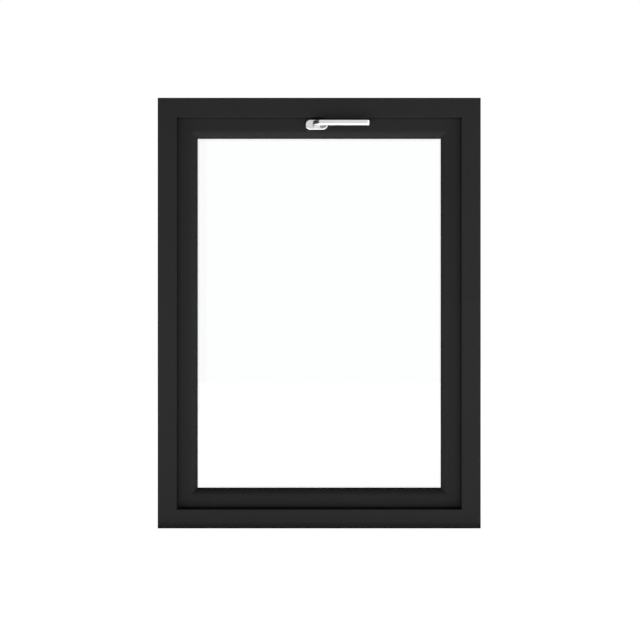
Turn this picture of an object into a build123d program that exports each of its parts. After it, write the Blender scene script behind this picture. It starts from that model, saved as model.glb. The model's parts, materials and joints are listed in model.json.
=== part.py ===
"""Bottom hung window, opening inwards, with a lever handle on the top rail of its sash.

Millimetres. X runs to the right as seen from the room, Y towards the outdoors, Z up.
The origin is the centre of the face on which the frame stands in its wall opening.
A section is drawn with u, the distance inwards from the frame's outer edge,
and v, the distance outwards from the frame's room face.
"""
from build123d import *
import os

# Frame
FRAME_WIDTH = 900.0
FRAME_HEIGHT = 1200.0
FRAME_DEPTH = 84.0
FRAME_FACE = 52.5
STOP_REACH = 28.0
STOP_THICKNESS = 12.0
PROFILE_WALL = 2.0
FRAME_ROOM_WEB = 30.0
FRAME_OUTER_WEB = 54.0
ARRIS_RADIUS = 0.8

# Sash
SASH_GAP = 0.8
SASH_SWING_TRIM = 1.9
SASH_DEPTH = 48.0
SASH_STOP_GAP = 4.0
SASH_FLAT = 33.7
FLANGE_THICKNESS = 3.0
SASH_WEB = 22.0
HARDWARE_GAP = 12.0
GLAZING_LEG = 6.0
GLAZING_LEG_SETBACK = 3.0

# Glazing
BEAD_WIDTH = 20.0
BEAD_CURVE_DEPTH = 12.0
BEAD_NOSE = 1.0
BEAD_WALL = 1.5
PANE_THICKNESS = 4.0
PANE_CAVITY = 16.0
PANE_EDGE_GAP = 6.0
SPACER_WIDTH = 7.0
SPACER_INSET = 3.0
GASKET_SETBACK = 0.5

# Seal between frame and sash
SEAL_BASE = 12.0
SEAL_CROWN = 6.0
SEAL_CLEARANCE = 0.3

# Fixing holes and drainage
FIXING_HOLE_RADIUS = 3.75
FIXING_END_DISTANCE = 150.0
FIXING_COUNT = 4
FIXING_SETBACK = 48.0
DRAIN_END_DISTANCE = 225.0
DRAIN_SLOT_LENGTH = 28.0
DRAIN_SLOT_HEIGHT = 5.0
DRAIN_SLOT_DEPTH = 10.0
DRAIN_LEVEL = 40.0
DRAIN_CAP_MARGIN = 6.0
DRAIN_CAP_DEPTH = 5.0
DRAIN_CAP_WALL = 1.5

# Concealed hinges
HINGE_END_DISTANCE = 150.0
HINGE_LENGTH = 60.0
HINGE_PIN_RADIUS = 2.0
HINGE_PIN_CLEARANCE = 0.05
KNUCKLE_RADIUS = 4.0
KNUCKLE_LENGTH = 20.0
KNUCKLE_CLEARANCE = 0.3
KNUCKLE_TO_FLANGE = 0.5
KNUCKLE_TO_SILL = 1.0
LEAF_THICKNESS = 3.0
LEAF_START = 5.5
LEAF_DEPTH = 27.0
LEAF_NECK_HEIGHT = 2.0

# Espagnolette faceplate on the top edge of the sash
FACEPLATE_END_DISTANCE = 130.0
FACEPLATE_WIDTH = 16.0
FACEPLATE_THICKNESS = 2.5

# Handle
HANDLE_OFFSET = -7.5
HANDLE_DROP = 19.0
ROSE_LENGTH = 62.5
ROSE_HEIGHT = 28.0
ROSE_THICKNESS = 9.0
ROSE_EDGE_CHAMFER = 1.5
COLLAR_RADIUS = 10.0
COLLAR_STAND = 2.0
COLLAR_DEPTH_IN_ROSE = 6.0
COLLAR_CLEARANCE = 0.15
LEVER_REACH = 146.0
LEVER_HEIGHT = 13.5
LEVER_THICKNESS = 11.0
LEVER_NECK_LENGTH = 12.0
LEVER_NECK_WIDTH = 19.0
LEVER_BEND_RADIUS = 19.5
LEVER_LOWER_BEVEL = 3.4
LEVER_END_BEVEL = 4.0
SPINDLE_SIDE = 7.0
SPINDLE_LENGTH = 33.0
SPINDLE_CLEARANCE = 1.0

# Lines of the section that several pieces share
STOP_FACE = FRAME_DEPTH - STOP_THICKNESS
SASH_EDGE = FRAME_FACE + SASH_GAP
SASH_BODY_EDGE = FRAME_FACE + HARDWARE_GAP
SASH_BACK = STOP_FACE - SASH_STOP_GAP
SASH_RECESS = SASH_BACK - SASH_DEPTH
REBATE_FLOOR = SASH_EDGE + SASH_FLAT
DAYLIGHT_EDGE = REBATE_FLOOR + BEAD_WIDTH
BEAD_BACK = SASH_RECESS + BEAD_CURVE_DEPTH + BEAD_NOSE
LEG_FACE = SASH_BACK - GLAZING_LEG
PANE_EDGE = REBATE_FLOOR + PANE_EDGE_GAP
GLASS_THICKNESS = 2 * PANE_THICKNESS + PANE_CAVITY
GASKET_THICKNESS = (LEG_FACE - BEAD_BACK - GLASS_THICKNESS) / 2
GLASS_FRONT = BEAD_BACK + GASKET_THICKNESS
GLASS_BACK = GLASS_FRONT + GLASS_THICKNESS
SASH_BOTTOM = SASH_EDGE + SASH_SWING_TRIM
HINGE_LEVEL = FRAME_FACE + KNUCKLE_TO_SILL + KNUCKLE_RADIUS
HINGE_SETBACK = SASH_RECESS + FLANGE_THICKNESS + KNUCKLE_TO_FLANGE + KNUCKLE_RADIUS
HANDLE_LEVEL = FRAME_HEIGHT - SASH_EDGE - HANDLE_DROP


def y_of(v):
    """Turn a distance from the frame's room face into a Y coordinate."""
    return v - FRAME_DEPTH / 2


def block(x, v, z):
    """A box between the two limits given for each of x, v and z."""
    size = (x[1] - x[0], v[1] - v[0], z[1] - z[0])
    middle = (sum(x) / 2, y_of(sum(v) / 2), sum(z) / 2)
    return Pos(*middle) * Box(*size)


def section(points, round_points=(), radius=ARRIS_RADIUS):
    """A closed face from (u, v) points, with the named points rounded."""
    outline = Polygon(*[(y_of(v), u) for u, v in points], align=None)
    if round_points:
        corners = [outline.vertices().sort_by_distance((y_of(v), u, 0))[0] for u, v in round_points]
        outline = fillet(corners, radius)
    return Plane.YZ * outline


def bar(face, side):
    """Run a section along one side of the window, with mitred ends."""
    length = FRAME_HEIGHT if side in ("left", "right") else FRAME_WIDTH
    reach = DAYLIGHT_EDGE + BEAD_WIDTH
    run = extrude(face, amount=length / 2, both=True)
    mitre = Polygon(
        (-length / 2, 0), (length / 2, 0), (length / 2 - reach, reach), (reach - length / 2, reach),
        align=None)
    cut = run & extrude(Plane.XZ * mitre, amount=FRAME_DEPTH, both=True)
    places = {
        "bottom": Location((0, 0, 0)),
        "top": Location((0, 0, FRAME_HEIGHT), (0, 180, 0)),
        "left": Location((-FRAME_WIDTH / 2, 0, FRAME_HEIGHT / 2), (0, 90, 0)),
        "right": Location((FRAME_WIDTH / 2, 0, FRAME_HEIGHT / 2), (0, -90, 0)),
    }
    return places[side] * cut


def ring(face):
    """The four bars of a section welded into one frame."""
    sides = [bar(face, side) for side in ("bottom", "top", "left", "right")]
    return sides[0] + sides[1:]


def pane(front):
    """One sheet of glass whose room face lies at the given depth."""
    half = FRAME_WIDTH / 2 - PANE_EDGE
    return block((-half, half), (front, front + PANE_THICKNESS), (PANE_EDGE, FRAME_HEIGHT - PANE_EDGE))


def chamber(u, v):
    """A rectangular chamber between the walls that lie at the two limits given for u and v."""
    wall = PROFILE_WALL
    low_u, high_u = u[0] + wall, u[1] - wall
    low_v, high_v = v[0] + wall, v[1] - wall
    return section([(low_u, low_v), (high_u, low_v), (high_u, high_v), (low_u, high_v)])


def angled_chamber(u, v, step_u, step_v):
    """A chamber that reaches on to step_u, under a shoulder at depth step_v."""
    wall = PROFILE_WALL
    low_u, high_u, far_u = u[0] + wall, u[1] - wall, step_u - wall
    low_v, high_v, mid_v = v[0] + wall, v[1] - wall, step_v + wall
    return section([
        (low_u, low_v), (high_u, low_v), (high_u, mid_v), (far_u, mid_v), (far_u, high_v), (low_u, high_v)])


# Frame bars
def frame_section():
    stop_edge = FRAME_FACE + STOP_REACH
    points = [
        (0, 0), (FRAME_FACE, 0), (FRAME_FACE, STOP_FACE), (stop_edge, STOP_FACE),
        (stop_edge, FRAME_DEPTH), (0, FRAME_DEPTH)]
    outline = section(points, [points[1], points[3], points[4]])
    face_span = (0, FRAME_FACE)
    return outline - [
        chamber(face_span, (0, FRAME_ROOM_WEB + PROFILE_WALL)),
        chamber(face_span, (FRAME_ROOM_WEB, FRAME_OUTER_WEB + PROFILE_WALL)),
        angled_chamber(face_span, (FRAME_OUTER_WEB, FRAME_DEPTH), stop_edge, STOP_FACE)]


def fixing_holes():
    """Screw holes through a jamb, inside the rebate where the closed sash hides them."""
    pitch = (FRAME_HEIGHT - 2 * FIXING_END_DISTANCE) / (FIXING_COUNT - 1)
    levels = [FIXING_END_DISTANCE + pitch * i for i in range(FIXING_COUNT)]
    return [
        Pos(0, y_of(FIXING_SETBACK), level) * Rot(0, 90, 0) * Cylinder(FIXING_HOLE_RADIUS, FRAME_WIDTH * 2)
        for level in levels]


def drain_slot(x):
    half = DRAIN_SLOT_LENGTH / 2
    return block(
        (x - half, x + half), (FRAME_DEPTH - DRAIN_SLOT_DEPTH, FRAME_DEPTH),
        (DRAIN_LEVEL, DRAIN_LEVEL + DRAIN_SLOT_HEIGHT))


def drain_cap(x):
    """A hood over a drain slot, open downwards."""
    half = DRAIN_SLOT_LENGTH / 2 + DRAIN_CAP_MARGIN
    z = (DRAIN_LEVEL - DRAIN_CAP_MARGIN, DRAIN_LEVEL + DRAIN_SLOT_HEIGHT + DRAIN_CAP_MARGIN)
    v = (FRAME_DEPTH, FRAME_DEPTH + DRAIN_CAP_DEPTH)
    wall = DRAIN_CAP_WALL
    hood = block((x - half, x + half), v, z)
    hollow = block((x - half + wall, x + half - wall), (v[0], v[1] - wall), (z[0], z[1] - wall))
    return hood - hollow


# Sash bars, beads and gaskets
def sash_section():
    leg_edge = DAYLIGHT_EDGE - GLAZING_LEG_SETBACK
    web = SASH_RECESS + SASH_WEB
    points = [
        (SASH_EDGE, SASH_RECESS), (REBATE_FLOOR, SASH_RECESS), (REBATE_FLOOR, LEG_FACE),
        (leg_edge, LEG_FACE), (leg_edge, SASH_BACK), (SASH_BODY_EDGE, SASH_BACK),
        (SASH_BODY_EDGE, SASH_RECESS + FLANGE_THICKNESS), (SASH_EDGE, SASH_RECESS + FLANGE_THICKNESS)]
    outline = section(points, [points[0], points[4], points[5]])
    body_span = (SASH_BODY_EDGE, REBATE_FLOOR)
    return outline - [
        chamber(body_span, (SASH_RECESS, web + PROFILE_WALL)),
        angled_chamber(body_span, (web, SASH_BACK), leg_edge, LEG_FACE)]


def sash_bar(side):
    """A sash bar with the lower flange edge trimmed so that the sash can swing."""
    room = block((-FRAME_WIDTH, FRAME_WIDTH), (0, FRAME_DEPTH), (SASH_BOTTOM, FRAME_HEIGHT))
    return bar(sash_section(), side) & room


def bead_section():
    """A hollow bead whose room face curves from the sash's face back to the glass."""
    start = (y_of(SASH_RECESS), REBATE_FLOOR)
    nose = (y_of(SASH_RECESS + BEAD_CURVE_DEPTH), DAYLIGHT_EDGE)
    curve = TangentArc(start, nose, tangent=(0, 1))
    seat = Polyline(nose, (y_of(BEAD_BACK), DAYLIGHT_EDGE), (y_of(BEAD_BACK), REBATE_FLOOR), start)
    outline = make_face([curve, seat])
    return Plane.YZ * (outline - offset(outline, -BEAD_WALL))


def gasket_section(front):
    edge = DAYLIGHT_EDGE - GLAZING_LEG_SETBACK - GASKET_SETBACK
    back = front + GASKET_THICKNESS
    return section([(PANE_EDGE, front), (edge, front), (edge, back), (PANE_EDGE, back)])


def spacer_section():
    front = GLASS_FRONT + PANE_THICKNESS
    back = front + PANE_CAVITY
    near = PANE_EDGE + SPACER_INSET
    return section([(near, front), (near + SPACER_WIDTH, front), (near + SPACER_WIDTH, back), (near, back)])


def seal_section():
    middle = FRAME_FACE + STOP_REACH - SEAL_BASE / 2 - ARRIS_RADIUS
    crown = SASH_BACK + SEAL_CLEARANCE
    return section([
        (middle - SEAL_BASE / 2, STOP_FACE), (middle + SEAL_BASE / 2, STOP_FACE),
        (middle + SEAL_CROWN / 2, crown), (middle - SEAL_CROWN / 2, crown)])


# Hinges
def along_x(radius, x):
    """A cylinder on the hinge axis between two x limits."""
    middle = Pos(sum(x) / 2, y_of(HINGE_SETBACK), HINGE_LEVEL)
    return middle * Rot(0, 90, 0) * Cylinder(radius, x[1] - x[0])


def hinge_half(x, plate_z, neck_z, knuckles):
    """A plate with necks that carry the given knuckles on the hinge axis."""
    plate_front = HINGE_SETBACK + LEAF_START
    half = HINGE_LENGTH / 2
    body = block((x - half, x + half), (plate_front, plate_front + LEAF_DEPTH), plate_z)
    for low, high in knuckles:
        span = (x + low, x + high)
        body += block(span, (HINGE_SETBACK, plate_front + LEAF_THICKNESS), neck_z)
        body += along_x(KNUCKLE_RADIUS, span)
    return body - along_x(HINGE_PIN_RADIUS + HINGE_PIN_CLEARANCE, (x - HINGE_LENGTH, x + HINGE_LENGTH))


def hinge_bracket(x):
    low = HINGE_LEVEL - KNUCKLE_RADIUS
    inner = KNUCKLE_LENGTH / 2 + KNUCKLE_CLEARANCE
    outer = HINGE_LENGTH / 2
    return hinge_half(
        x, (FRAME_FACE, FRAME_FACE + LEAF_THICKNESS), (low, low + LEAF_NECK_HEIGHT),
        [(-outer, -inner), (inner, outer)])


def hinge_leaf(x):
    high = HINGE_LEVEL + KNUCKLE_RADIUS
    return hinge_half(
        x, (SASH_BODY_EDGE - LEAF_THICKNESS, SASH_BODY_EDGE),
        (high - LEAF_NECK_HEIGHT, SASH_BODY_EDGE), [(-KNUCKLE_LENGTH / 2, KNUCKLE_LENGTH / 2)])


# Handle and lock
def along_y(radius, v):
    """A cylinder on the handle's axis between two depths."""
    return Pos(HANDLE_OFFSET, y_of(sum(v) / 2), HANDLE_LEVEL) * Rot(90, 0, 0) * Cylinder(radius, v[1] - v[0])


ROSE_FACE = SASH_RECESS - ROSE_THICKNESS
COLLAR_END = ROSE_FACE + COLLAR_DEPTH_IN_ROSE
SPINDLE_END = COLLAR_END + SPINDLE_LENGTH


def handle_rose():
    outline = SlotOverall(ROSE_LENGTH, ROSE_HEIGHT)
    plate = extrude(outline, amount=ROSE_THICKNESS)
    front = plate.faces().sort_by(Axis.Z)[-1]
    plate = chamfer(front.edges(), ROSE_EDGE_CHAMFER)
    plate = Pos(HANDLE_OFFSET, y_of(SASH_RECESS), HANDLE_LEVEL) * Rot(90, 0, 0) * plate
    return plate - along_y(COLLAR_RADIUS + COLLAR_CLEARANCE, (ROSE_FACE, SASH_RECESS))


def handle_lever():
    """A collar in the rose, a neck that bends to the right, and a grip with a lower front bevel."""
    left = HANDLE_OFFSET - LEVER_NECK_WIDTH / 2
    inner_left = HANDLE_OFFSET + LEVER_NECK_WIDTH / 2
    right = HANDLE_OFFSET + LEVER_REACH
    base = y_of(ROSE_FACE)
    bend = base - LEVER_NECK_LENGTH
    front = bend - LEVER_BEND_RADIUS
    back = front + LEVER_THICKNESS
    turned = left + LEVER_BEND_RADIUS
    inner_turned = inner_left + LEVER_BEND_RADIUS - LEVER_THICKNESS
    neck = Line((left, base), (left, bend))
    elbow = TangentArc((left, bend), (turned, front), tangent=(0, -1))
    face = Line((turned, front), (right - LEVER_END_BEVEL, front))
    tip = Line(face @ 1, (right, front + LEVER_END_BEVEL))
    inside = Polyline(tip @ 1, (right, back), (inner_turned, back))
    inner_elbow = TangentArc((inner_turned, back), (inner_left, bend), tangent=(-1, 0))
    root = Polyline((inner_left, bend), (inner_left, base), (left, base))
    plan = make_face([neck, elbow, face, tip, inside, inner_elbow, root])
    body = extrude(plan, amount=LEVER_HEIGHT)
    lower = body.faces().sort_by(Axis.Z)[0].edges()
    body = chamfer([lower.sort_by_distance(line @ 0.5)[0] for line in (neck, elbow, face, tip)], LEVER_LOWER_BEVEL)
    body = Pos(0, 0, HANDLE_LEVEL - LEVER_HEIGHT / 2) * body
    return body + along_y(COLLAR_RADIUS, (ROSE_FACE - COLLAR_STAND, COLLAR_END))


def handle_spindle():
    return block(
        (HANDLE_OFFSET - SPINDLE_SIDE / 2, HANDLE_OFFSET + SPINDLE_SIDE / 2), (COLLAR_END, SPINDLE_END),
        (HANDLE_LEVEL - SPINDLE_SIDE / 2, HANDLE_LEVEL + SPINDLE_SIDE / 2))


def spindle_hole():
    radius = SPINDLE_SIDE / 2 ** 0.5 + SPINDLE_CLEARANCE
    return along_y(radius, (SASH_RECESS, SPINDLE_END + SPINDLE_CLEARANCE))


def faceplate():
    half = FRAME_WIDTH / 2 - FACEPLATE_END_DISTANCE
    middle = SASH_RECESS + FLANGE_THICKNESS + (SASH_DEPTH - FLANGE_THICKNESS) / 2
    top = FRAME_HEIGHT - SASH_BODY_EDGE
    return block(
        (-half, half), (middle - FACEPLATE_WIDTH / 2, middle + FACEPLATE_WIDTH / 2),
        (top, top + FACEPLATE_THICKNESS))


DRAIN_X = FRAME_WIDTH / 2 - DRAIN_END_DISTANCE
HINGE_X = FRAME_WIDTH / 2 - HINGE_END_DISTANCE
DRAINS = {"left": -DRAIN_X, "right": DRAIN_X}
HINGES = {"left": -HINGE_X, "right": HINGE_X}

parts = {
    "frame_head": bar(frame_section(), "top"),
    "frame_sill": bar(frame_section(), "bottom") - [drain_slot(x) for x in DRAINS.values()],
    "frame_jamb_left": bar(frame_section(), "left") - fixing_holes(),
    "frame_jamb_right": bar(frame_section(), "right") - fixing_holes(),
    "frame_seal": ring(seal_section()),
    "sash_top_rail": sash_bar("top") - spindle_hole(),
    "sash_bottom_rail": sash_bar("bottom"),
    "sash_left_stile": sash_bar("left"),
    "sash_right_stile": sash_bar("right"),
    "inner_pane": pane(GLASS_FRONT),
    "outer_pane": pane(GLASS_BACK - PANE_THICKNESS),
    "glazing_spacer": ring(spacer_section()),
    "inner_glazing_gasket": ring(gasket_section(BEAD_BACK)),
    "outer_glazing_gasket": ring(gasket_section(GLASS_BACK)),
    "espagnolette_faceplate": faceplate(),
    "handle_rose": handle_rose(),
    "handle_lever": handle_lever(),
    "handle_spindle": handle_spindle(),
}
for side in ("top", "bottom", "left", "right"):
    parts[f"glazing_bead_{side}"] = bar(bead_section(), side)
for side, x in DRAINS.items():
    parts[f"drain_cap_{side}"] = drain_cap(x)
for side, x in HINGES.items():
    half_pin = HINGE_LENGTH / 2
    parts[f"hinge_bracket_{side}"] = hinge_bracket(x)
    parts[f"hinge_leaf_{side}"] = hinge_leaf(x)
    parts[f"hinge_pin_{side}"] = along_x(HINGE_PIN_RADIUS, (x - half_pin, x + half_pin))

os.makedirs("parts", exist_ok=True)
for name, shape in parts.items():
    export_step(shape, f"parts/{name}.step")
print(len(parts), "parts written")
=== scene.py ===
# %% [markdown]
# # A bottom hung window, finished for a picture
# The frame, the sash, the glass and the handle come from the drawing as solids in metres, with the
# room at -Y, the outdoors at +Y and the frame standing on z = 0. This lesson gives them their
# coating, glass, rubber and metal, adds the small repeated pieces that a drawing leaves out, and
# sets the camera and the light. Every measured length is read from the solids' own boxes, so that
# a new size of the window moves the added pieces too.

import json
from math import pi, radians

import bpy
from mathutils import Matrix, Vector


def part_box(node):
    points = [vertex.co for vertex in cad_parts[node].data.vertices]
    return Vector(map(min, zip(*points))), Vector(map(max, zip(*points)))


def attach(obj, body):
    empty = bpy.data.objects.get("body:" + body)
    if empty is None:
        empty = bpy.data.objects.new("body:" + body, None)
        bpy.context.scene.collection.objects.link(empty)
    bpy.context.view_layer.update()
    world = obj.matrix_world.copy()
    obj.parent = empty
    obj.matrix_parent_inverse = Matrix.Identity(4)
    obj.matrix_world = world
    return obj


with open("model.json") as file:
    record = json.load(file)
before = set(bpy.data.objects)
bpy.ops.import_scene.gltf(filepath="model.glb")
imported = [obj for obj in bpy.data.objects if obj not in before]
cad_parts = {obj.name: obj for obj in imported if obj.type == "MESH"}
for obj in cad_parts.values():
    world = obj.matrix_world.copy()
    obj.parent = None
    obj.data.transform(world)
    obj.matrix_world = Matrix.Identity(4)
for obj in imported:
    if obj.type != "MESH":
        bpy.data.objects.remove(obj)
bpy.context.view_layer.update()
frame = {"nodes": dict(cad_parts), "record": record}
nodes = frame["nodes"]
scene = bpy.context.scene
print(len(nodes), "solids loaded")

# %% [markdown]
# ## The main lines of the window
# A window is a set of nested rectangles. Each later step needs only a few of them: the frame's
# outer edge, the edge of the clear glass and the levels of the faces in depth.

# %% Read the main lines
frame_low, frame_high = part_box("frame_head")
FRAME_WIDTH = frame_high[0] - frame_low[0]
FRAME_HEIGHT = frame_high[2]
ROOM_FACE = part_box("frame_sill")[0][1]
CLEAR_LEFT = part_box("glazing_bead_left")[1][0]
CLEAR_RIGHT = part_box("glazing_bead_right")[0][0]
CLEAR_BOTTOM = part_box("glazing_bead_bottom")[1][2]
CLEAR_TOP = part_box("glazing_bead_top")[0][2]
CLEAR_MIDDLE = ((CLEAR_LEFT + CLEAR_RIGHT) / 2, (CLEAR_BOTTOM + CLEAR_TOP) / 2)
print(f"frame {FRAME_WIDTH:.3f} x {FRAME_HEIGHT:.3f} m,",
      f"clear glass {CLEAR_RIGHT - CLEAR_LEFT:.3f} x {CLEAR_TOP - CLEAR_BOTTOM:.3f} m")

# %% [markdown]
# ## Camera
# The photo looks straight at the window: its outline is a true rectangle and both jambs show the
# same width. So the camera looks along +Y without tilt. The outline's place in the picture, in
# pixels of a 640 pixel square, gives the scale and the camera's place; the distance only sets how
# much of the recessed reveals shows.

# %% Set the camera
PICTURE_SIDE = 640
OUTLINE_LEFT, OUTLINE_RIGHT = 157.7, 480.7
OUTLINE_TOP, OUTLINE_BOTTOM = 97.6, 528.6
CAMERA_DISTANCE = 3.0

pixel = FRAME_WIDTH / (OUTLINE_RIGHT - OUTLINE_LEFT)
camera_data = bpy.data.cameras.new("photo_camera")
camera_data.sensor_width = 36
camera_data.lens = camera_data.sensor_width * CAMERA_DISTANCE / (PICTURE_SIDE * pixel)
camera = bpy.data.objects.new("photo_camera", camera_data)
camera.location = (
    (PICTURE_SIDE - OUTLINE_LEFT - OUTLINE_RIGHT) / 2 * pixel,
    ROOM_FACE - CAMERA_DISTANCE,
    FRAME_HEIGHT / 2 - (PICTURE_SIDE - OUTLINE_TOP - OUTLINE_BOTTOM) / 2 * pixel,
)
camera.rotation_euler = (pi / 2, 0, 0)
scene.collection.objects.link(camera)
scene.camera = camera
print(f"camera at {tuple(round(c, 3) for c in camera.location)}, lens {camera_data.lens:.1f} mm")

# %% [markdown]
# ## Small helpers for nodes
# Materials, shared effects and repeated pieces are all node trees. Two helpers keep them short:
# one adds a node and fills its inputs, the other gives a tree its named inputs and outputs.


# %% Node helpers
def add_node(tree, kind, settings=None, **inputs):
    """Add a node, set its options, and fill or link its inputs by name (spaces as underscores)."""
    node = tree.nodes.new(kind)
    for name, value in (settings or {}).items():
        setattr(node, name, value)
    for name, value in inputs.items():
        socket = node.inputs[int(name[1:]) if name[1:].isdigit() else name.replace("_", " ")]
        if isinstance(value, bpy.types.NodeSocket):
            tree.links.new(value, socket)
        else:
            socket.default_value = value
    return node


def math(tree, operation, first, second=0.0, third=0.0):
    """One Math node; its result socket comes back."""
    return add_node(tree, "ShaderNodeMath", {"operation": operation}, i0=first, i1=second, i2=third).outputs[0]


def new_tree(name, kind, inputs, outputs):
    """A node group with named sockets: name -> (socket type, default)."""
    tree = bpy.data.node_groups.new(name, kind)
    for label, (socket, default) in inputs.items():
        made = tree.interface.new_socket(label, in_out="INPUT", socket_type=socket)
        if default is not None:
            made.default_value = default
    for label, socket in outputs.items():
        tree.interface.new_socket(label, in_out="OUTPUT", socket_type=socket)
    return tree, tree.nodes.new("NodeGroupInput").outputs, tree.nodes.new("NodeGroupOutput").inputs


def new_material(name):
    """An empty material with its Principled shader on the output."""
    material = bpy.data.materials.new(name)
    material.use_nodes = True
    tree = material.node_tree
    shader = next(n for n in tree.nodes if n.bl_idname == "ShaderNodeBsdfPrincipled")
    return material, tree, shader


def use_group(tree, group, **inputs):
    """A shared effect in a material; its outputs come back."""
    node = tree.nodes.new("ShaderNodeGroup")
    node.node_tree = group
    for name, value in inputs.items():
        socket = node.inputs[name.replace("_", " ")]
        if isinstance(value, bpy.types.NodeSocket):
            tree.links.new(value, socket)
        else:
            socket.default_value = value
    return node.outputs


print("helpers ready")

# %% [markdown]
# ## Shared effect: coated surface
# Powder coat is sprayed as dry paint dust and melted in an oven. It flows into a skin with a fine
# grain of less than a millimetre and a slow waviness of some millimetres. Both are noise in the
# object's own coordinates, so that the grain has the same size on every bar. A slow cloud varies
# the tone and the shine a little, as on any real coat.

# %% Coated surface group
coat_group, coat_in, coat_out = new_tree(
    "coated_surface", "ShaderNodeTree",
    {"Dark": ("NodeSocketColor", (0.01, 0.01, 0.01, 1)), "Light": ("NodeSocketColor", (0.02, 0.02, 0.02, 1)),
     "Grain": ("NodeSocketFloat", 1400.0), "Wave": ("NodeSocketFloat", 160.0),
     "Relief": ("NodeSocketFloat", 0.25), "Roughness": ("NodeSocketFloat", 0.45),
     "Spread": ("NodeSocketFloat", 0.1)},
    {"Color": "NodeSocketColor", "Roughness": "NodeSocketFloat", "Normal": "NodeSocketVector"})
place = add_node(coat_group, "ShaderNodeTexCoord").outputs["Object"]
grain = add_node(coat_group, "ShaderNodeTexNoise", Vector=place, Scale=coat_in["Grain"], Detail=2.0).outputs[0]
wave = add_node(coat_group, "ShaderNodeTexNoise", Vector=place, Scale=coat_in["Wave"], Detail=1.0).outputs[0]
cloud = add_node(coat_group, "ShaderNodeTexNoise", Vector=place, Scale=5.0, Detail=4.0).outputs[0]
height = math(coat_group, "MULTIPLY_ADD", wave, 1.5, grain)
speckle = add_node(coat_group, "ShaderNodeMapRange", Value=grain, From_Min=0.3, From_Max=0.7).outputs[0]
tone = math(coat_group, "MULTIPLY_ADD", speckle, 0.6, math(coat_group, "MULTIPLY", cloud, 0.4))
colour = add_node(coat_group, "ShaderNodeMix", {"data_type": "RGBA"}, Factor=tone).outputs[2]
mix = colour.node
coat_group.links.new(coat_in["Dark"], mix.inputs[6])
coat_group.links.new(coat_in["Light"], mix.inputs[7])
shine = math(coat_group, "MULTIPLY_ADD", math(coat_group, "SUBTRACT", cloud, 0.5), coat_in["Spread"],
             coat_in["Roughness"])
bump = add_node(coat_group, "ShaderNodeBump", Strength=coat_in["Relief"], Distance=0.0001, Height=height)
coat_group.links.new(colour, coat_out["Color"])
coat_group.links.new(shine, coat_out["Roughness"])
coat_group.links.new(bump.outputs[0], coat_out["Normal"])
print("group", coat_group.name)

# %% [markdown]
# ## Shared effect: mitre line
# The bars are sawn at 45 degrees and pressed together at the corners. What is left to see is a
# hairline on the diagonal from the frame's outer corner inwards, through frame, sash and beads
# alike. The distance to that diagonal follows from the frame's width and height, so one group
# draws it on every bar.

# %% Mitre line group
mitre_group, mitre_in, mitre_out = new_tree(
    "mitre_line", "ShaderNodeTree",
    {"Half Width": ("NodeSocketFloat", 0.45), "Height": ("NodeSocketFloat", 1.2),
     "Line": ("NodeSocketFloat", 0.0004)},
    {"Mask": "NodeSocketFloat"})
place = add_node(mitre_group, "ShaderNodeTexCoord").outputs["Object"]
axes = add_node(mitre_group, "ShaderNodeSeparateXYZ", Vector=place).outputs
from_side = math(mitre_group, "SUBTRACT", mitre_in["Half Width"], math(mitre_group, "ABSOLUTE", axes["X"]))
from_top = math(mitre_group, "SUBTRACT", mitre_in["Height"], axes["Z"])
from_end = math(mitre_group, "MINIMUM", axes["Z"], from_top)
off_line = math(mitre_group, "ABSOLUTE", math(mitre_group, "SUBTRACT", from_side, from_end))
line = add_node(mitre_group, "ShaderNodeMapRange", {"interpolation_type": "SMOOTHSTEP"}, Value=off_line,
                From_Min=0.0, From_Max=mitre_in["Line"], To_Min=1.0, To_Max=0.0).outputs[0]
mitre_group.links.new(line, mitre_out["Mask"])
print("group", mitre_group.name)

# %% [markdown]
# ## Shared effect: drawn metal
# Rolled, drawn and brushed metal carries fine lines along the way it was worked. Noise that is
# stretched along one axis gives the lines; they change the roughness and the normal far more than
# the colour.

# %% Drawn metal group
drawn_group, drawn_in, drawn_out = new_tree(
    "drawn_metal", "ShaderNodeTree",
    {"Stretch": ("NodeSocketVector", (20.0, 2500.0, 2500.0)), "Dark": ("NodeSocketColor", (0.5, 0.5, 0.5, 1)),
     "Light": ("NodeSocketColor", (0.6, 0.6, 0.6, 1)), "Roughness": ("NodeSocketFloat", 0.35),
     "Spread": ("NodeSocketFloat", 0.15), "Relief": ("NodeSocketFloat", 0.1)},
    {"Color": "NodeSocketColor", "Roughness": "NodeSocketFloat", "Normal": "NodeSocketVector"})
place = add_node(drawn_group, "ShaderNodeTexCoord").outputs["Object"]
stretched = add_node(drawn_group, "ShaderNodeVectorMath", {"operation": "MULTIPLY"}, i0=place,
                     i1=drawn_in["Stretch"]).outputs[0]
lines = add_node(drawn_group, "ShaderNodeTexNoise", Vector=stretched, Scale=1.0, Detail=2.0).outputs[0]
cloud = add_node(drawn_group, "ShaderNodeTexNoise", Vector=place, Scale=40.0, Detail=3.0).outputs[0]
tone = math(drawn_group, "MULTIPLY_ADD", lines, 0.5, math(drawn_group, "MULTIPLY", cloud, 0.5))
mix = add_node(drawn_group, "ShaderNodeMix", {"data_type": "RGBA"}, Factor=tone)
drawn_group.links.new(drawn_in["Dark"], mix.inputs[6])
drawn_group.links.new(drawn_in["Light"], mix.inputs[7])
shine = math(drawn_group, "MULTIPLY_ADD", math(drawn_group, "SUBTRACT", tone, 0.5), drawn_in["Spread"],
             drawn_in["Roughness"])
bump = add_node(drawn_group, "ShaderNodeBump", Strength=drawn_in["Relief"], Distance=0.00005, Height=lines)
drawn_group.links.new(mix.outputs[2], drawn_out["Color"])
drawn_group.links.new(shine, drawn_out["Roughness"])
drawn_group.links.new(bump.outputs[0], drawn_out["Normal"])
print("group", drawn_group.name)


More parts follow.
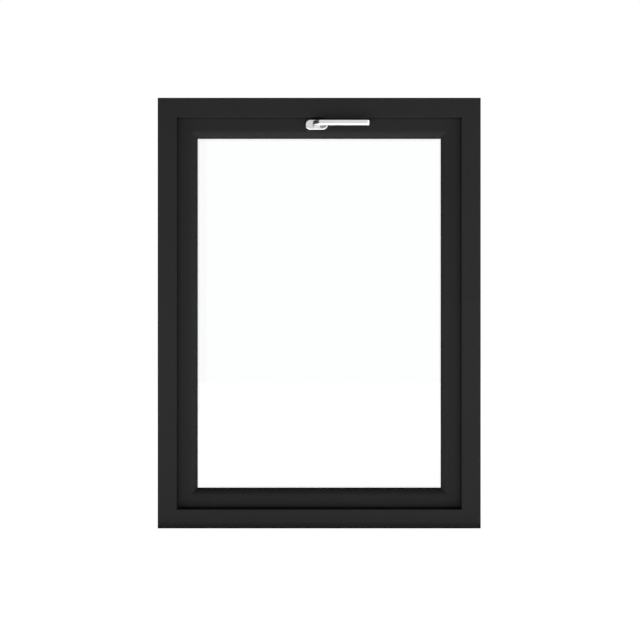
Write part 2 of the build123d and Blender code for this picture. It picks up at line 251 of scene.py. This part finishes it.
# %% [markdown]
# ## Finish: dark powder coat
# Frame, sash and beads are aluminium bars in a near black, half matt powder coat. The mitre line
# takes the coat's colour down to a dark seam. The shine is kept low, because the bars show soft,
# even greys and no mirror image.

# %% Powder coat
coat, tree, shader = new_material("frame_coating")
effect = use_group(tree, coat_group, Dark=(0.0125, 0.0125, 0.0126, 1), Light=(0.0235, 0.0235, 0.0236, 1),
                   Roughness=0.62, Spread=0.12, Relief=0.7)
seam = use_group(tree, mitre_group, Half_Width=FRAME_WIDTH / 2, Height=FRAME_HEIGHT)["Mask"]
darker = add_node(tree, "ShaderNodeMix", {"data_type": "RGBA"}, Factor=math(tree, "MULTIPLY", seam, 0.8))
tree.links.new(effect["Color"], darker.inputs[6])
darker.inputs[7].default_value = (0.002, 0.002, 0.002, 1)
tree.links.new(darker.outputs[2], shader.inputs["Base Color"])
tree.links.new(effect["Roughness"], shader.inputs["Roughness"])
tree.links.new(effect["Normal"], shader.inputs["Normal"])
shader.inputs["Specular IOR Level"].default_value = 0.09
print("material", coat.name)

# %% [markdown]
# ## Finish: clear glass
# Float glass is poured on molten tin, which makes it flat and clear. Two panes with a closed space
# between them make the sealed unit. The tint is faint, and a slow waviness of the roughness stands
# for the last film of cleaning.

# %% Glass
glass, tree, shader = new_material("clear_glass")
place = add_node(tree, "ShaderNodeTexCoord").outputs["Object"]
film = add_node(tree, "ShaderNodeTexNoise", Vector=place, Scale=9.0, Detail=3.0).outputs[0]
smear = add_node(tree, "ShaderNodeMapRange", Value=film, From_Min=0.45, From_Max=0.75, To_Min=0.0,
                 To_Max=0.03).outputs[0]
tree.links.new(smear, shader.inputs["Roughness"])
shader.inputs["Base Color"].default_value = (0.995, 1.0, 0.998, 1)
shader.inputs["IOR"].default_value = 1.5
shader.inputs["Transmission Weight"].default_value = 1.0
print("material", glass.name)

# %% [markdown]
# ## Finish: rubber, plastic, metal
# - Seals and gaskets are black synthetic rubber, pressed through a die: matt, with fine lines along
#   their length.
# - The caps over the drain slots are moulded plastic with an eroded grain.
# - The spacer in the glass is a rolled aluminium hollow bar.
# - Hinge pins, screws, spindle and faceplate are zinc plated steel with a bluish grey, mottled skin.
# - The handle is cast, ground and satin anodised aluminium.

# %% Rubber, plastic and metal
rubber, tree, shader = new_material("seal_rubber")
effect = use_group(tree, coat_group, Dark=(0.006, 0.006, 0.006, 1), Light=(0.011, 0.011, 0.011, 1),
                   Grain=2600.0, Wave=420.0, Relief=0.35, Roughness=0.68, Spread=0.15)
for name in ("Color", "Roughness", "Normal"):
    tree.links.new(effect[name], shader.inputs["Base Color" if name == "Color" else name])
shader.inputs["Specular IOR Level"].default_value = 0.25

plastic, tree, shader = new_material("cap_plastic")
effect = use_group(tree, coat_group, Dark=(0.011, 0.011, 0.0115, 1), Light=(0.018, 0.018, 0.0185, 1),
                   Grain=2000.0, Wave=700.0, Relief=0.45, Roughness=0.55, Spread=0.12)
for name in ("Color", "Roughness", "Normal"):
    tree.links.new(effect[name], shader.inputs["Base Color" if name == "Color" else name])

metals = {
    "spacer_bar": {"Stretch": (900.0, 2400.0, 900.0), "Dark": (0.42, 0.425, 0.43, 1),
                   "Light": (0.56, 0.565, 0.57, 1), "Roughness": 0.34, "Spread": 0.2, "Relief": 0.15},
    "fitting_steel": {"Stretch": (60.0, 1800.0, 1800.0), "Dark": (0.36, 0.37, 0.385, 1),
                      "Light": (0.6, 0.61, 0.62, 1), "Roughness": 0.38, "Spread": 0.25, "Relief": 0.12},
    "handle_silver": {"Stretch": (30.0, 3000.0, 3000.0), "Dark": (0.89, 0.89, 0.882, 1),
                      "Light": (0.95, 0.95, 0.942, 1), "Roughness": 0.3, "Spread": 0.12, "Relief": 0.08},
}
metal = {}
for slot_name, values in metals.items():
    metal[slot_name], tree, shader = new_material(slot_name)
    effect = use_group(tree, drawn_group, **values)
    for name in ("Color", "Roughness", "Normal"):
        tree.links.new(effect[name], shader.inputs["Base Color" if name == "Color" else name])
    shader.inputs["Metallic"].default_value = 1.0
print("materials", rubber.name, plastic.name, *metal)

# %% [markdown]
# ## Put the finishes on the solids
# The record names a material slot for every solid, so the finishes go on by slot.

# %% Finish the solids
finishes = {"frame_coating": coat, "clear_glass": glass, "seal_rubber": rubber, "cap_plastic": plastic, **metal}
slot_of = {part["node"]: part["material_slot"] for part in frame["record"]["subparts"]}
for name, solid in nodes.items():
    solid.data.materials.clear()
    solid.data.materials.append(finishes[slot_of[name]])
print(len(slot_of), "solids in", len(finishes), "finishes")


# %% [markdown]
# ## Edges that catch the light
# No real edge is knife sharp. A bar leaves its die with corners rounded by a few tenths of a
# millimetre, and a cast handle is ground and tumbled. Such an edge shows as a thin light or dark
# line, and two of them make each mitre and each bead a hairline groove. The drawn solids are loose
# triangles with sharp edges, so Weld joins the triangles, Bevel rounds what turns by more than the
# given angle, and Weighted Normal keeps flat faces flat in the shading. The rose's shiny face is a
# fan of thin triangles that would shade as streaks, so Decimate first joins what is flat. The drawn
# mesh itself stays as it is.

# %% Round the edges
EDGE_RADIUS = {"frame_coating": 0.0003, "cap_plastic": 0.0005, "handle_silver": 0.0005}
EDGE_ANGLE = radians(35)
FLAT_ANGLE = radians(1)
WELD_REACH = 0.00001
rounded = [name for name, slot_name in slot_of.items()
           if slot_name in EDGE_RADIUS and not name.startswith("hinge")]
for name in rounded:
    solid = nodes[name]
    solid.modifiers.new("weld", "WELD").merge_threshold = WELD_REACH
    if name == "handle_rose":
        flats = solid.modifiers.new("join_flats", "DECIMATE")
        flats.decimate_type = "DISSOLVE"
        flats.angle_limit = FLAT_ANGLE
    bevel = solid.modifiers.new("round_edges", "BEVEL")
    bevel.width = EDGE_RADIUS[slot_of[name]]
    bevel.segments = 2
    bevel.limit_method = "ANGLE"
    bevel.angle_limit = EDGE_ANGLE
    solid.modifiers.new("shade", "WEIGHTED_NORMAL").keep_sharp = False
print(len(rounded), "solids with rounded edges")


# %% [markdown]
# ## Repeated pieces
# What repeats along a line is set out by a small tree of nodes with named inputs. The tree is run
# once and its result kept as one plain mesh per body.

# %% Run a tree
def run_tree(tree, name, body, values):
    """Run a geometry tree with these named values and keep the result as a finished piece."""
    carrier = bpy.data.objects.new(name + "_source", bpy.data.meshes.new(name + "_source"))
    scene.collection.objects.link(carrier)
    modifier = carrier.modifiers.new("nodes", "NODES")
    modifier.node_group = tree
    for item in tree.interface.items_tree:
        if item.in_out == "INPUT" and item.name in values:
            modifier[item.identifier] = values[item.name]
    evaluated = carrier.evaluated_get(bpy.context.evaluated_depsgraph_get())
    mesh = bpy.data.meshes.new_from_object(evaluated)
    mesh.name = name
    bpy.data.objects.remove(carrier)
    piece = bpy.data.objects.new(name, mesh)
    scene.collection.objects.link(piece)
    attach(piece, body)
    print(name, len(mesh.polygons), "faces")
    return piece


# %% [markdown]
# ## Gasket lips
# Between bead and glass shows the rounded lip of the gasket, a rubber thread that runs round the
# clear glass, fills the gap between the two and stands out from it by half its thickness. It is a
# rectangle of the clear glass' size with a round section swept along it, as thick as the gap is wide.

# %% Gasket lips
BEAD_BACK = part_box("glazing_bead_left")[1][1]
LIP_RADIUS = (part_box("inner_pane")[0][1] - BEAD_BACK) / 2
lip_tree, lip_in, lip_out = new_tree(
    "gasket_lip", "GeometryNodeTree",
    {"Width": ("NodeSocketFloat", 0.7), "Height": ("NodeSocketFloat", 1.0), "Radius": ("NodeSocketFloat", 0.001),
     "Middle": ("NodeSocketVector", (0, 0, 0))},
    {"Geometry": "NodeSocketGeometry"})
path = add_node(lip_tree, "GeometryNodeCurvePrimitiveQuadrilateral", Width=lip_in["Width"],
                Height=lip_in["Height"]).outputs[0]
stood = add_node(lip_tree, "GeometryNodeTransform", Geometry=path, Translation=lip_in["Middle"],
                 Rotation=(pi / 2, 0, 0)).outputs[0]
ring = add_node(lip_tree, "GeometryNodeCurvePrimitiveCircle", Resolution=10, Radius=lip_in["Radius"]).outputs[0]
swept = add_node(lip_tree, "GeometryNodeCurveToMesh", Curve=stood, Profile_Curve=ring).outputs[0]
smooth = add_node(lip_tree, "GeometryNodeSetShadeSmooth", Geometry=swept).outputs[0]
real = add_node(lip_tree, "GeometryNodeRealizeInstances", Geometry=smooth).outputs[0]
lip_tree.links.new(add_node(lip_tree, "GeometryNodeSetMaterial", Geometry=real, Material=rubber).outputs[0],
                   lip_out["Geometry"])

LEG_SETBACK = CLEAR_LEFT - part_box("sash_left_stile")[1][0]
for side, depth, setback in (("inner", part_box("inner_pane")[0][1] - LIP_RADIUS, 0.0),
                             ("outer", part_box("outer_pane")[1][1] + LIP_RADIUS, LEG_SETBACK)):
    run_tree(lip_tree, f"{side}_gasket_lip", "sash", {
        "Width": CLEAR_RIGHT - CLEAR_LEFT + 2 * setback, "Height": CLEAR_TOP - CLEAR_BOTTOM + 2 * setback,
        "Radius": LIP_RADIUS, "Middle": Vector((CLEAR_MIDDLE[0], depth, CLEAR_MIDDLE[1]))})

# %% [markdown]
# ## Perforations of the spacer
# The spacer holds a drying agent that has to breathe, so its inner face is pierced with a row of
# tiny holes. They are set out on a rectangle round the spacer and sunk into it, each one a small
# dark ball of which only the cap shows. The black of the caps is painted shade: it stands for the
# dark inside of each hole.

# %% Spacer perforations
PERFORATION_PITCH = 0.006
PERFORATION_RADIUS = 0.0006
hole_tree, hole_in, hole_out = new_tree(
    "spacer_perforations", "GeometryNodeTree",
    {"Width": ("NodeSocketFloat", 0.7), "Height": ("NodeSocketFloat", 1.0), "Pitch": ("NodeSocketFloat", 0.006),
     "Radius": ("NodeSocketFloat", 0.0006), "Middle": ("NodeSocketVector", (0, 0, 0))},
    {"Geometry": "NodeSocketGeometry"})
path = add_node(hole_tree, "GeometryNodeCurvePrimitiveQuadrilateral", Width=hole_in["Width"],
                Height=hole_in["Height"]).outputs[0]
stood = add_node(hole_tree, "GeometryNodeTransform", Geometry=path, Translation=hole_in["Middle"],
                 Rotation=(pi / 2, 0, 0)).outputs[0]
spots = add_node(hole_tree, "GeometryNodeCurveToPoints", {"mode": "LENGTH"}, Curve=stood,
                 Length=hole_in["Pitch"]).outputs[0]
ball = add_node(hole_tree, "GeometryNodeMeshIcoSphere", Radius=hole_in["Radius"], Subdivisions=1).outputs[0]
holes = add_node(hole_tree, "GeometryNodeInstanceOnPoints", Points=spots, Instance=ball).outputs[0]
real = add_node(hole_tree, "GeometryNodeRealizeInstances", Geometry=holes).outputs[0]
# The black rubber on the balls is painted shade for the dark inside of the holes.
hole_tree.links.new(add_node(hole_tree, "GeometryNodeSetMaterial", Geometry=real, Material=rubber).outputs[0],
                    hole_out["Geometry"])

spacer = nodes["glazing_spacer"]
corners = [spacer.matrix_world @ vertex.co for vertex in spacer.data.vertices]
inner_right = sorted({round(corner.x, 5) for corner in corners})[-2]
inner_bottom, inner_top = sorted({round(corner.z, 5) for corner in corners})[1:3]
spacer_low, spacer_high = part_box("glazing_spacer")
run_tree(hole_tree, "spacer_perforations", "sash", {
    "Width": 2 * inner_right + PERFORATION_RADIUS, "Height": inner_top - inner_bottom + PERFORATION_RADIUS,
    "Pitch": PERFORATION_PITCH, "Radius": PERFORATION_RADIUS,
    "Middle": Vector((0, (spacer_low[1] + spacer_high[1]) / 2, (inner_bottom + inner_top) / 2))})

# %% [markdown]
# ## Screws
# Hinge plates and the faceplate are held by flat headed screws with a cross recess. Cutting the
# recess with a boolean would leave slivers, so the tree fills a disc with a four pointed star left
# out, draws the disc's border down to the head's wall and the star's border down to the recess, and
# closes both below. Copies of the head are set along a line. The heads of the upper hinge plates
# look down, so the tree can turn them over.

# %% Screws
HEAD_RADIUS = 0.0032
HEAD_RISE = 0.0006
screw_tree, screw_in, screw_out = new_tree(
    "screw_row", "GeometryNodeTree",
    {"Count": ("NodeSocketInt", 2), "Start": ("NodeSocketVector", (0, 0, 0)), "Step": ("NodeSocketVector", (1, 0, 0)),
     "Radius": ("NodeSocketFloat", 0.003), "Rise": ("NodeSocketFloat", 0.0006),
     "Turn": ("NodeSocketVector", (0, 0, 0))},
    {"Geometry": "NodeSocketGeometry"})


def scaled(name, factor):
    """A named size of the screw times a factor."""
    return math(screw_tree, "MULTIPLY", screw_in[name], factor)


def along_z(length):
    """A vector of this length along the screw's axis."""
    return add_node(screw_tree, "ShaderNodeCombineXYZ", Z=length).outputs[0]


def joined(*meshes):
    """Several meshes or curves as one."""
    node = screw_tree.nodes.new("GeometryNodeJoinGeometry")
    for mesh in meshes:
        screw_tree.links.new(mesh, node.inputs[0])
    return node.outputs[0]


def filled(curve, drop=None):
    """A closed curve filled with faces, lowered where a drop is given."""
    sheet = add_node(screw_tree, "GeometryNodeFillCurve", Curve=curve).outputs[0]
    if drop is None:
        return sheet
    return add_node(screw_tree, "GeometryNodeTransform", Geometry=sheet, Translation=drop).outputs[0]


rim = add_node(screw_tree, "GeometryNodeCurvePrimitiveCircle", Resolution=28, Radius=screw_in["Radius"]).outputs[0]
star = add_node(screw_tree, "GeometryNodeCurveStar", Points=4, Inner_Radius=scaled("Radius", 0.2),
                Outer_Radius=scaled("Radius", 0.62)).outputs[0]
rim_drop, star_drop = along_z(scaled("Rise", -2.0)), along_z(scaled("Rise", -1.4))
on_border = math(screw_tree, "COMPARE",
                 add_node(screw_tree, "GeometryNodeInputMeshEdgeNeighbors").outputs[0], 1.0, 0.1)
off_axis = add_node(screw_tree, "ShaderNodeVectorMath", {"operation": "LENGTH"},
                    i0=add_node(screw_tree, "GeometryNodeInputPosition").outputs[0]).outputs["Value"]
walled = filled(joined(rim, star))
for place, drop in (("GREATER_THAN", rim_drop), ("LESS_THAN", star_drop)):
    edges = math(screw_tree, "MULTIPLY", on_border, math(screw_tree, place, off_axis, scaled("Radius", 0.8)))
    walled = add_node(screw_tree, "GeometryNodeExtrudeMesh", {"mode": "EDGES"}, Mesh=walled, Selection=edges,
                      Offset=drop).outputs[0]
underside = add_node(screw_tree, "GeometryNodeFlipFaces", Mesh=filled(rim, rim_drop)).outputs[0]
closed = add_node(screw_tree, "GeometryNodeMergeByDistance", Distance=WELD_REACH,
                  Geometry=joined(walled, filled(star, star_drop), underside)).outputs[0]
head = add_node(screw_tree, "GeometryNodeTransform", Geometry=closed, Translation=along_z(screw_in["Rise"])).outputs[0]
spots = add_node(screw_tree, "GeometryNodeMeshLine", Count=screw_in["Count"], Start_Location=screw_in["Start"],
                 Offset=screw_in["Step"]).outputs[0]
heads = add_node(screw_tree, "GeometryNodeInstanceOnPoints", Points=spots, Instance=head,
                 Rotation=screw_in["Turn"]).outputs[0]
real = add_node(screw_tree, "GeometryNodeRealizeInstances", Geometry=heads).outputs[0]
screw_tree.links.new(add_node(screw_tree, "GeometryNodeSetMaterial", Geometry=real,
                              Material=metal["fitting_steel"]).outputs[0], screw_out["Geometry"])

PLATE_DEPTH = 0.027
PLATE_THICKNESS = 0.003
SCREW_EDGE = 0.010
for side in ("left", "right"):
    for plate, body, turn in (("bracket", "frame", 0.0), ("leaf", "sash", pi)):
        low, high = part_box(f"hinge_{plate}_{side}")
        level = low[2] + PLATE_THICKNESS if plate == "bracket" else high[2] - PLATE_THICKNESS
        run_tree(screw_tree, f"hinge_{plate}_{side}_screws", body, {
            "Count": 2, "Start": Vector((low[0] + SCREW_EDGE, high[1] - PLATE_DEPTH / 2, level)),
            "Step": Vector((high[0] - low[0] - 2 * SCREW_EDGE, 0, 0)), "Radius": HEAD_RADIUS, "Rise": HEAD_RISE,
            "Turn": Vector((turn, 0, 0))})
low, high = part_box("espagnolette_faceplate")
run_tree(screw_tree, "faceplate_screws", "sash", {
    "Count": 5, "Start": Vector((low[0] + SCREW_EDGE, (low[1] + high[1]) / 2, high[2])),
    "Step": Vector(((high[0] - low[0] - 2 * SCREW_EDGE) / 4, 0, 0)), "Radius": HEAD_RADIUS, "Rise": HEAD_RISE / 2})

# %% [markdown]
# ## Stage and light
# A plain white studio: a pale floor, a white surround that darkens overhead, and soft lamps. The
# floor glows faintly to the camera so that it comes out as white as the surround and still takes
# the window's shadow. The window is lit mostly from the front and from below, which is why
# the surfaces that look down are lighter than the ones that look up.

# %% World
world = bpy.data.worlds.new("studio")
scene.world = world
world.use_nodes = True
tree = world.node_tree
backdrop = next(n for n in tree.nodes if n.bl_idname == "ShaderNodeBackground")
direction = add_node(tree, "ShaderNodeTexCoord").outputs["Generated"]
upward = add_node(tree, "ShaderNodeSeparateXYZ", Vector=direction).outputs["Z"]
glow = add_node(tree, "ShaderNodeMapRange", {"interpolation_type": "SMOOTHSTEP"}, Value=upward, From_Min=0.3,
                From_Max=0.8, To_Min=1.0, To_Max=0.05).outputs[0]
ray = add_node(tree, "ShaderNodeLightPath").outputs
seen = math(tree, "MAXIMUM", ray["Is Camera Ray"], ray["Is Transmission Ray"])
level = add_node(tree, "ShaderNodeMapRange", Value=ray["Is Glossy Ray"], To_Min=0.15, To_Max=0.83).outputs[0]
backdrop.inputs["Color"].default_value = (1, 1, 1, 1)
tree.links.new(math(tree, "MAXIMUM", seen, math(tree, "MULTIPLY", glow, level)), backdrop.inputs["Strength"])
print("world", world.name)

# %% Floor
FLOOR_SIDE = 14.0
floor_mesh = bpy.data.meshes.new("floor")
half = FLOOR_SIDE / 2
floor_mesh.from_pydata([(-half, -half, 0), (half, -half, 0), (half, half, 0), (-half, half, 0)], [], [(0, 1, 2, 3)])
floor = bpy.data.objects.new("floor", floor_mesh)
scene.collection.objects.link(floor)
floor_finish = bpy.data.materials.new("floor")
floor_finish.use_nodes = True
tree = floor_finish.node_tree
tree.nodes.clear()
ray = add_node(tree, "ShaderNodeLightPath").outputs
seen = math(tree, "MAXIMUM", ray["Is Camera Ray"], math(tree, "MAXIMUM", ray["Is Glossy Ray"],
                                                       ray["Is Transmission Ray"]))
place = add_node(tree, "ShaderNodeTexCoord").outputs["Object"]
away = add_node(tree, "ShaderNodeVectorMath", {"operation": "LENGTH"}, i0=place).outputs["Value"]
white = add_node(tree, "ShaderNodeMapRange", {"interpolation_type": "SMOOTHSTEP"}, Value=away, From_Min=0.6,
                 From_Max=2.5, To_Min=0.87, To_Max=1.0).outputs[0]
glowing = add_node(tree, "ShaderNodeEmission", Strength=math(tree, "MULTIPLY", seen, white)).outputs[0]
matt = add_node(tree, "ShaderNodeBsdfDiffuse", Color=(0.8, 0.8, 0.8, 1)).outputs[0]
both = add_node(tree, "ShaderNodeAddShader", i0=glowing, i1=matt).outputs[0]
add_node(tree, "ShaderNodeOutputMaterial", Surface=both)
floor_mesh.materials.append(floor_finish)
print("floor", FLOOR_SIDE, "m wide")


# %% Lamps
def soft_lamp(name, place, target, width, height, glow, mirrored):
    """A large rectangular lamp that looks at a point; glow 1 is as bright as a white surround."""
    data = bpy.data.lights.new(name, "AREA")
    data.shape = "RECTANGLE"
    data.size, data.size_y, data.energy = width, height, glow * pi * width * height
    lamp = bpy.data.objects.new(name, data)
    lamp.location = place
    lamp.rotation_euler = (Vector(target) - Vector(place)).to_track_quat("-Z", "Y").to_euler()
    lamp.visible_glossy = mirrored
    lamp.visible_transmission = False
    scene.collection.objects.link(lamp)


FLOOR_LAMP_WIDTH, LAMP_GAP, LAMP_NEAR, LAMP_FAR = 8.0, 0.056, 0.55, 6.0
for name, start, end, glow, mirrored in (("front_near_lamp", -LAMP_GAP, -LAMP_NEAR, 1.35, True),
                                         ("front_far_lamp", -LAMP_NEAR, -LAMP_FAR, 2.35, False),
                                         ("back_lamp", LAMP_GAP, LAMP_FAR, 2.0, False)):
    middle = (start + end) / 2
    soft_lamp(name, (0, middle, 0.002), (0, middle, 1), FLOOR_LAMP_WIDTH, abs(end - start), glow, mirrored)
for name, side in (("left_side_lamp", -1), ("right_side_lamp", 1)):
    soft_lamp(name, (side * 2.4, -0.5, 1.0), (0, -0.1, 1.0), 1.6, 2.4, 1.8, side > 0)

# The dark card shows only in reflections: it paints a dark reflection on the side of the handle's bend, and it casts
# no shadow and gives no light.
CARD_LINE = ((-0.58, -2.5), (-1.3, -2.2), (-1.9, -1.6), (-2.3, -0.7), (-2.4, 0.3), (-2.0, 1.3))
card_mesh = bpy.data.meshes.new("dark_card")
card_mesh.from_pydata(
    [(x, y, z) for z in (0.1, 2.6) for x, y in CARD_LINE], [],
    [(i, i + 1, i + 1 + len(CARD_LINE), i + len(CARD_LINE)) for i in range(len(CARD_LINE) - 1)])
card = bpy.data.objects.new("dark_card", card_mesh)
card_finish, tree, shader = new_material("dark_card")
shader.inputs["Base Color"].default_value = (0.02, 0.02, 0.02, 1)
shader.inputs["Roughness"].default_value = 0.9
card_mesh.materials.append(card_finish)
for kind in ("camera", "diffuse", "shadow", "transmission", "volume_scatter"):
    setattr(card, f"visible_{kind}", False)
scene.collection.objects.link(card)
scene.view_settings.view_transform = "Standard"
print("lamps set")
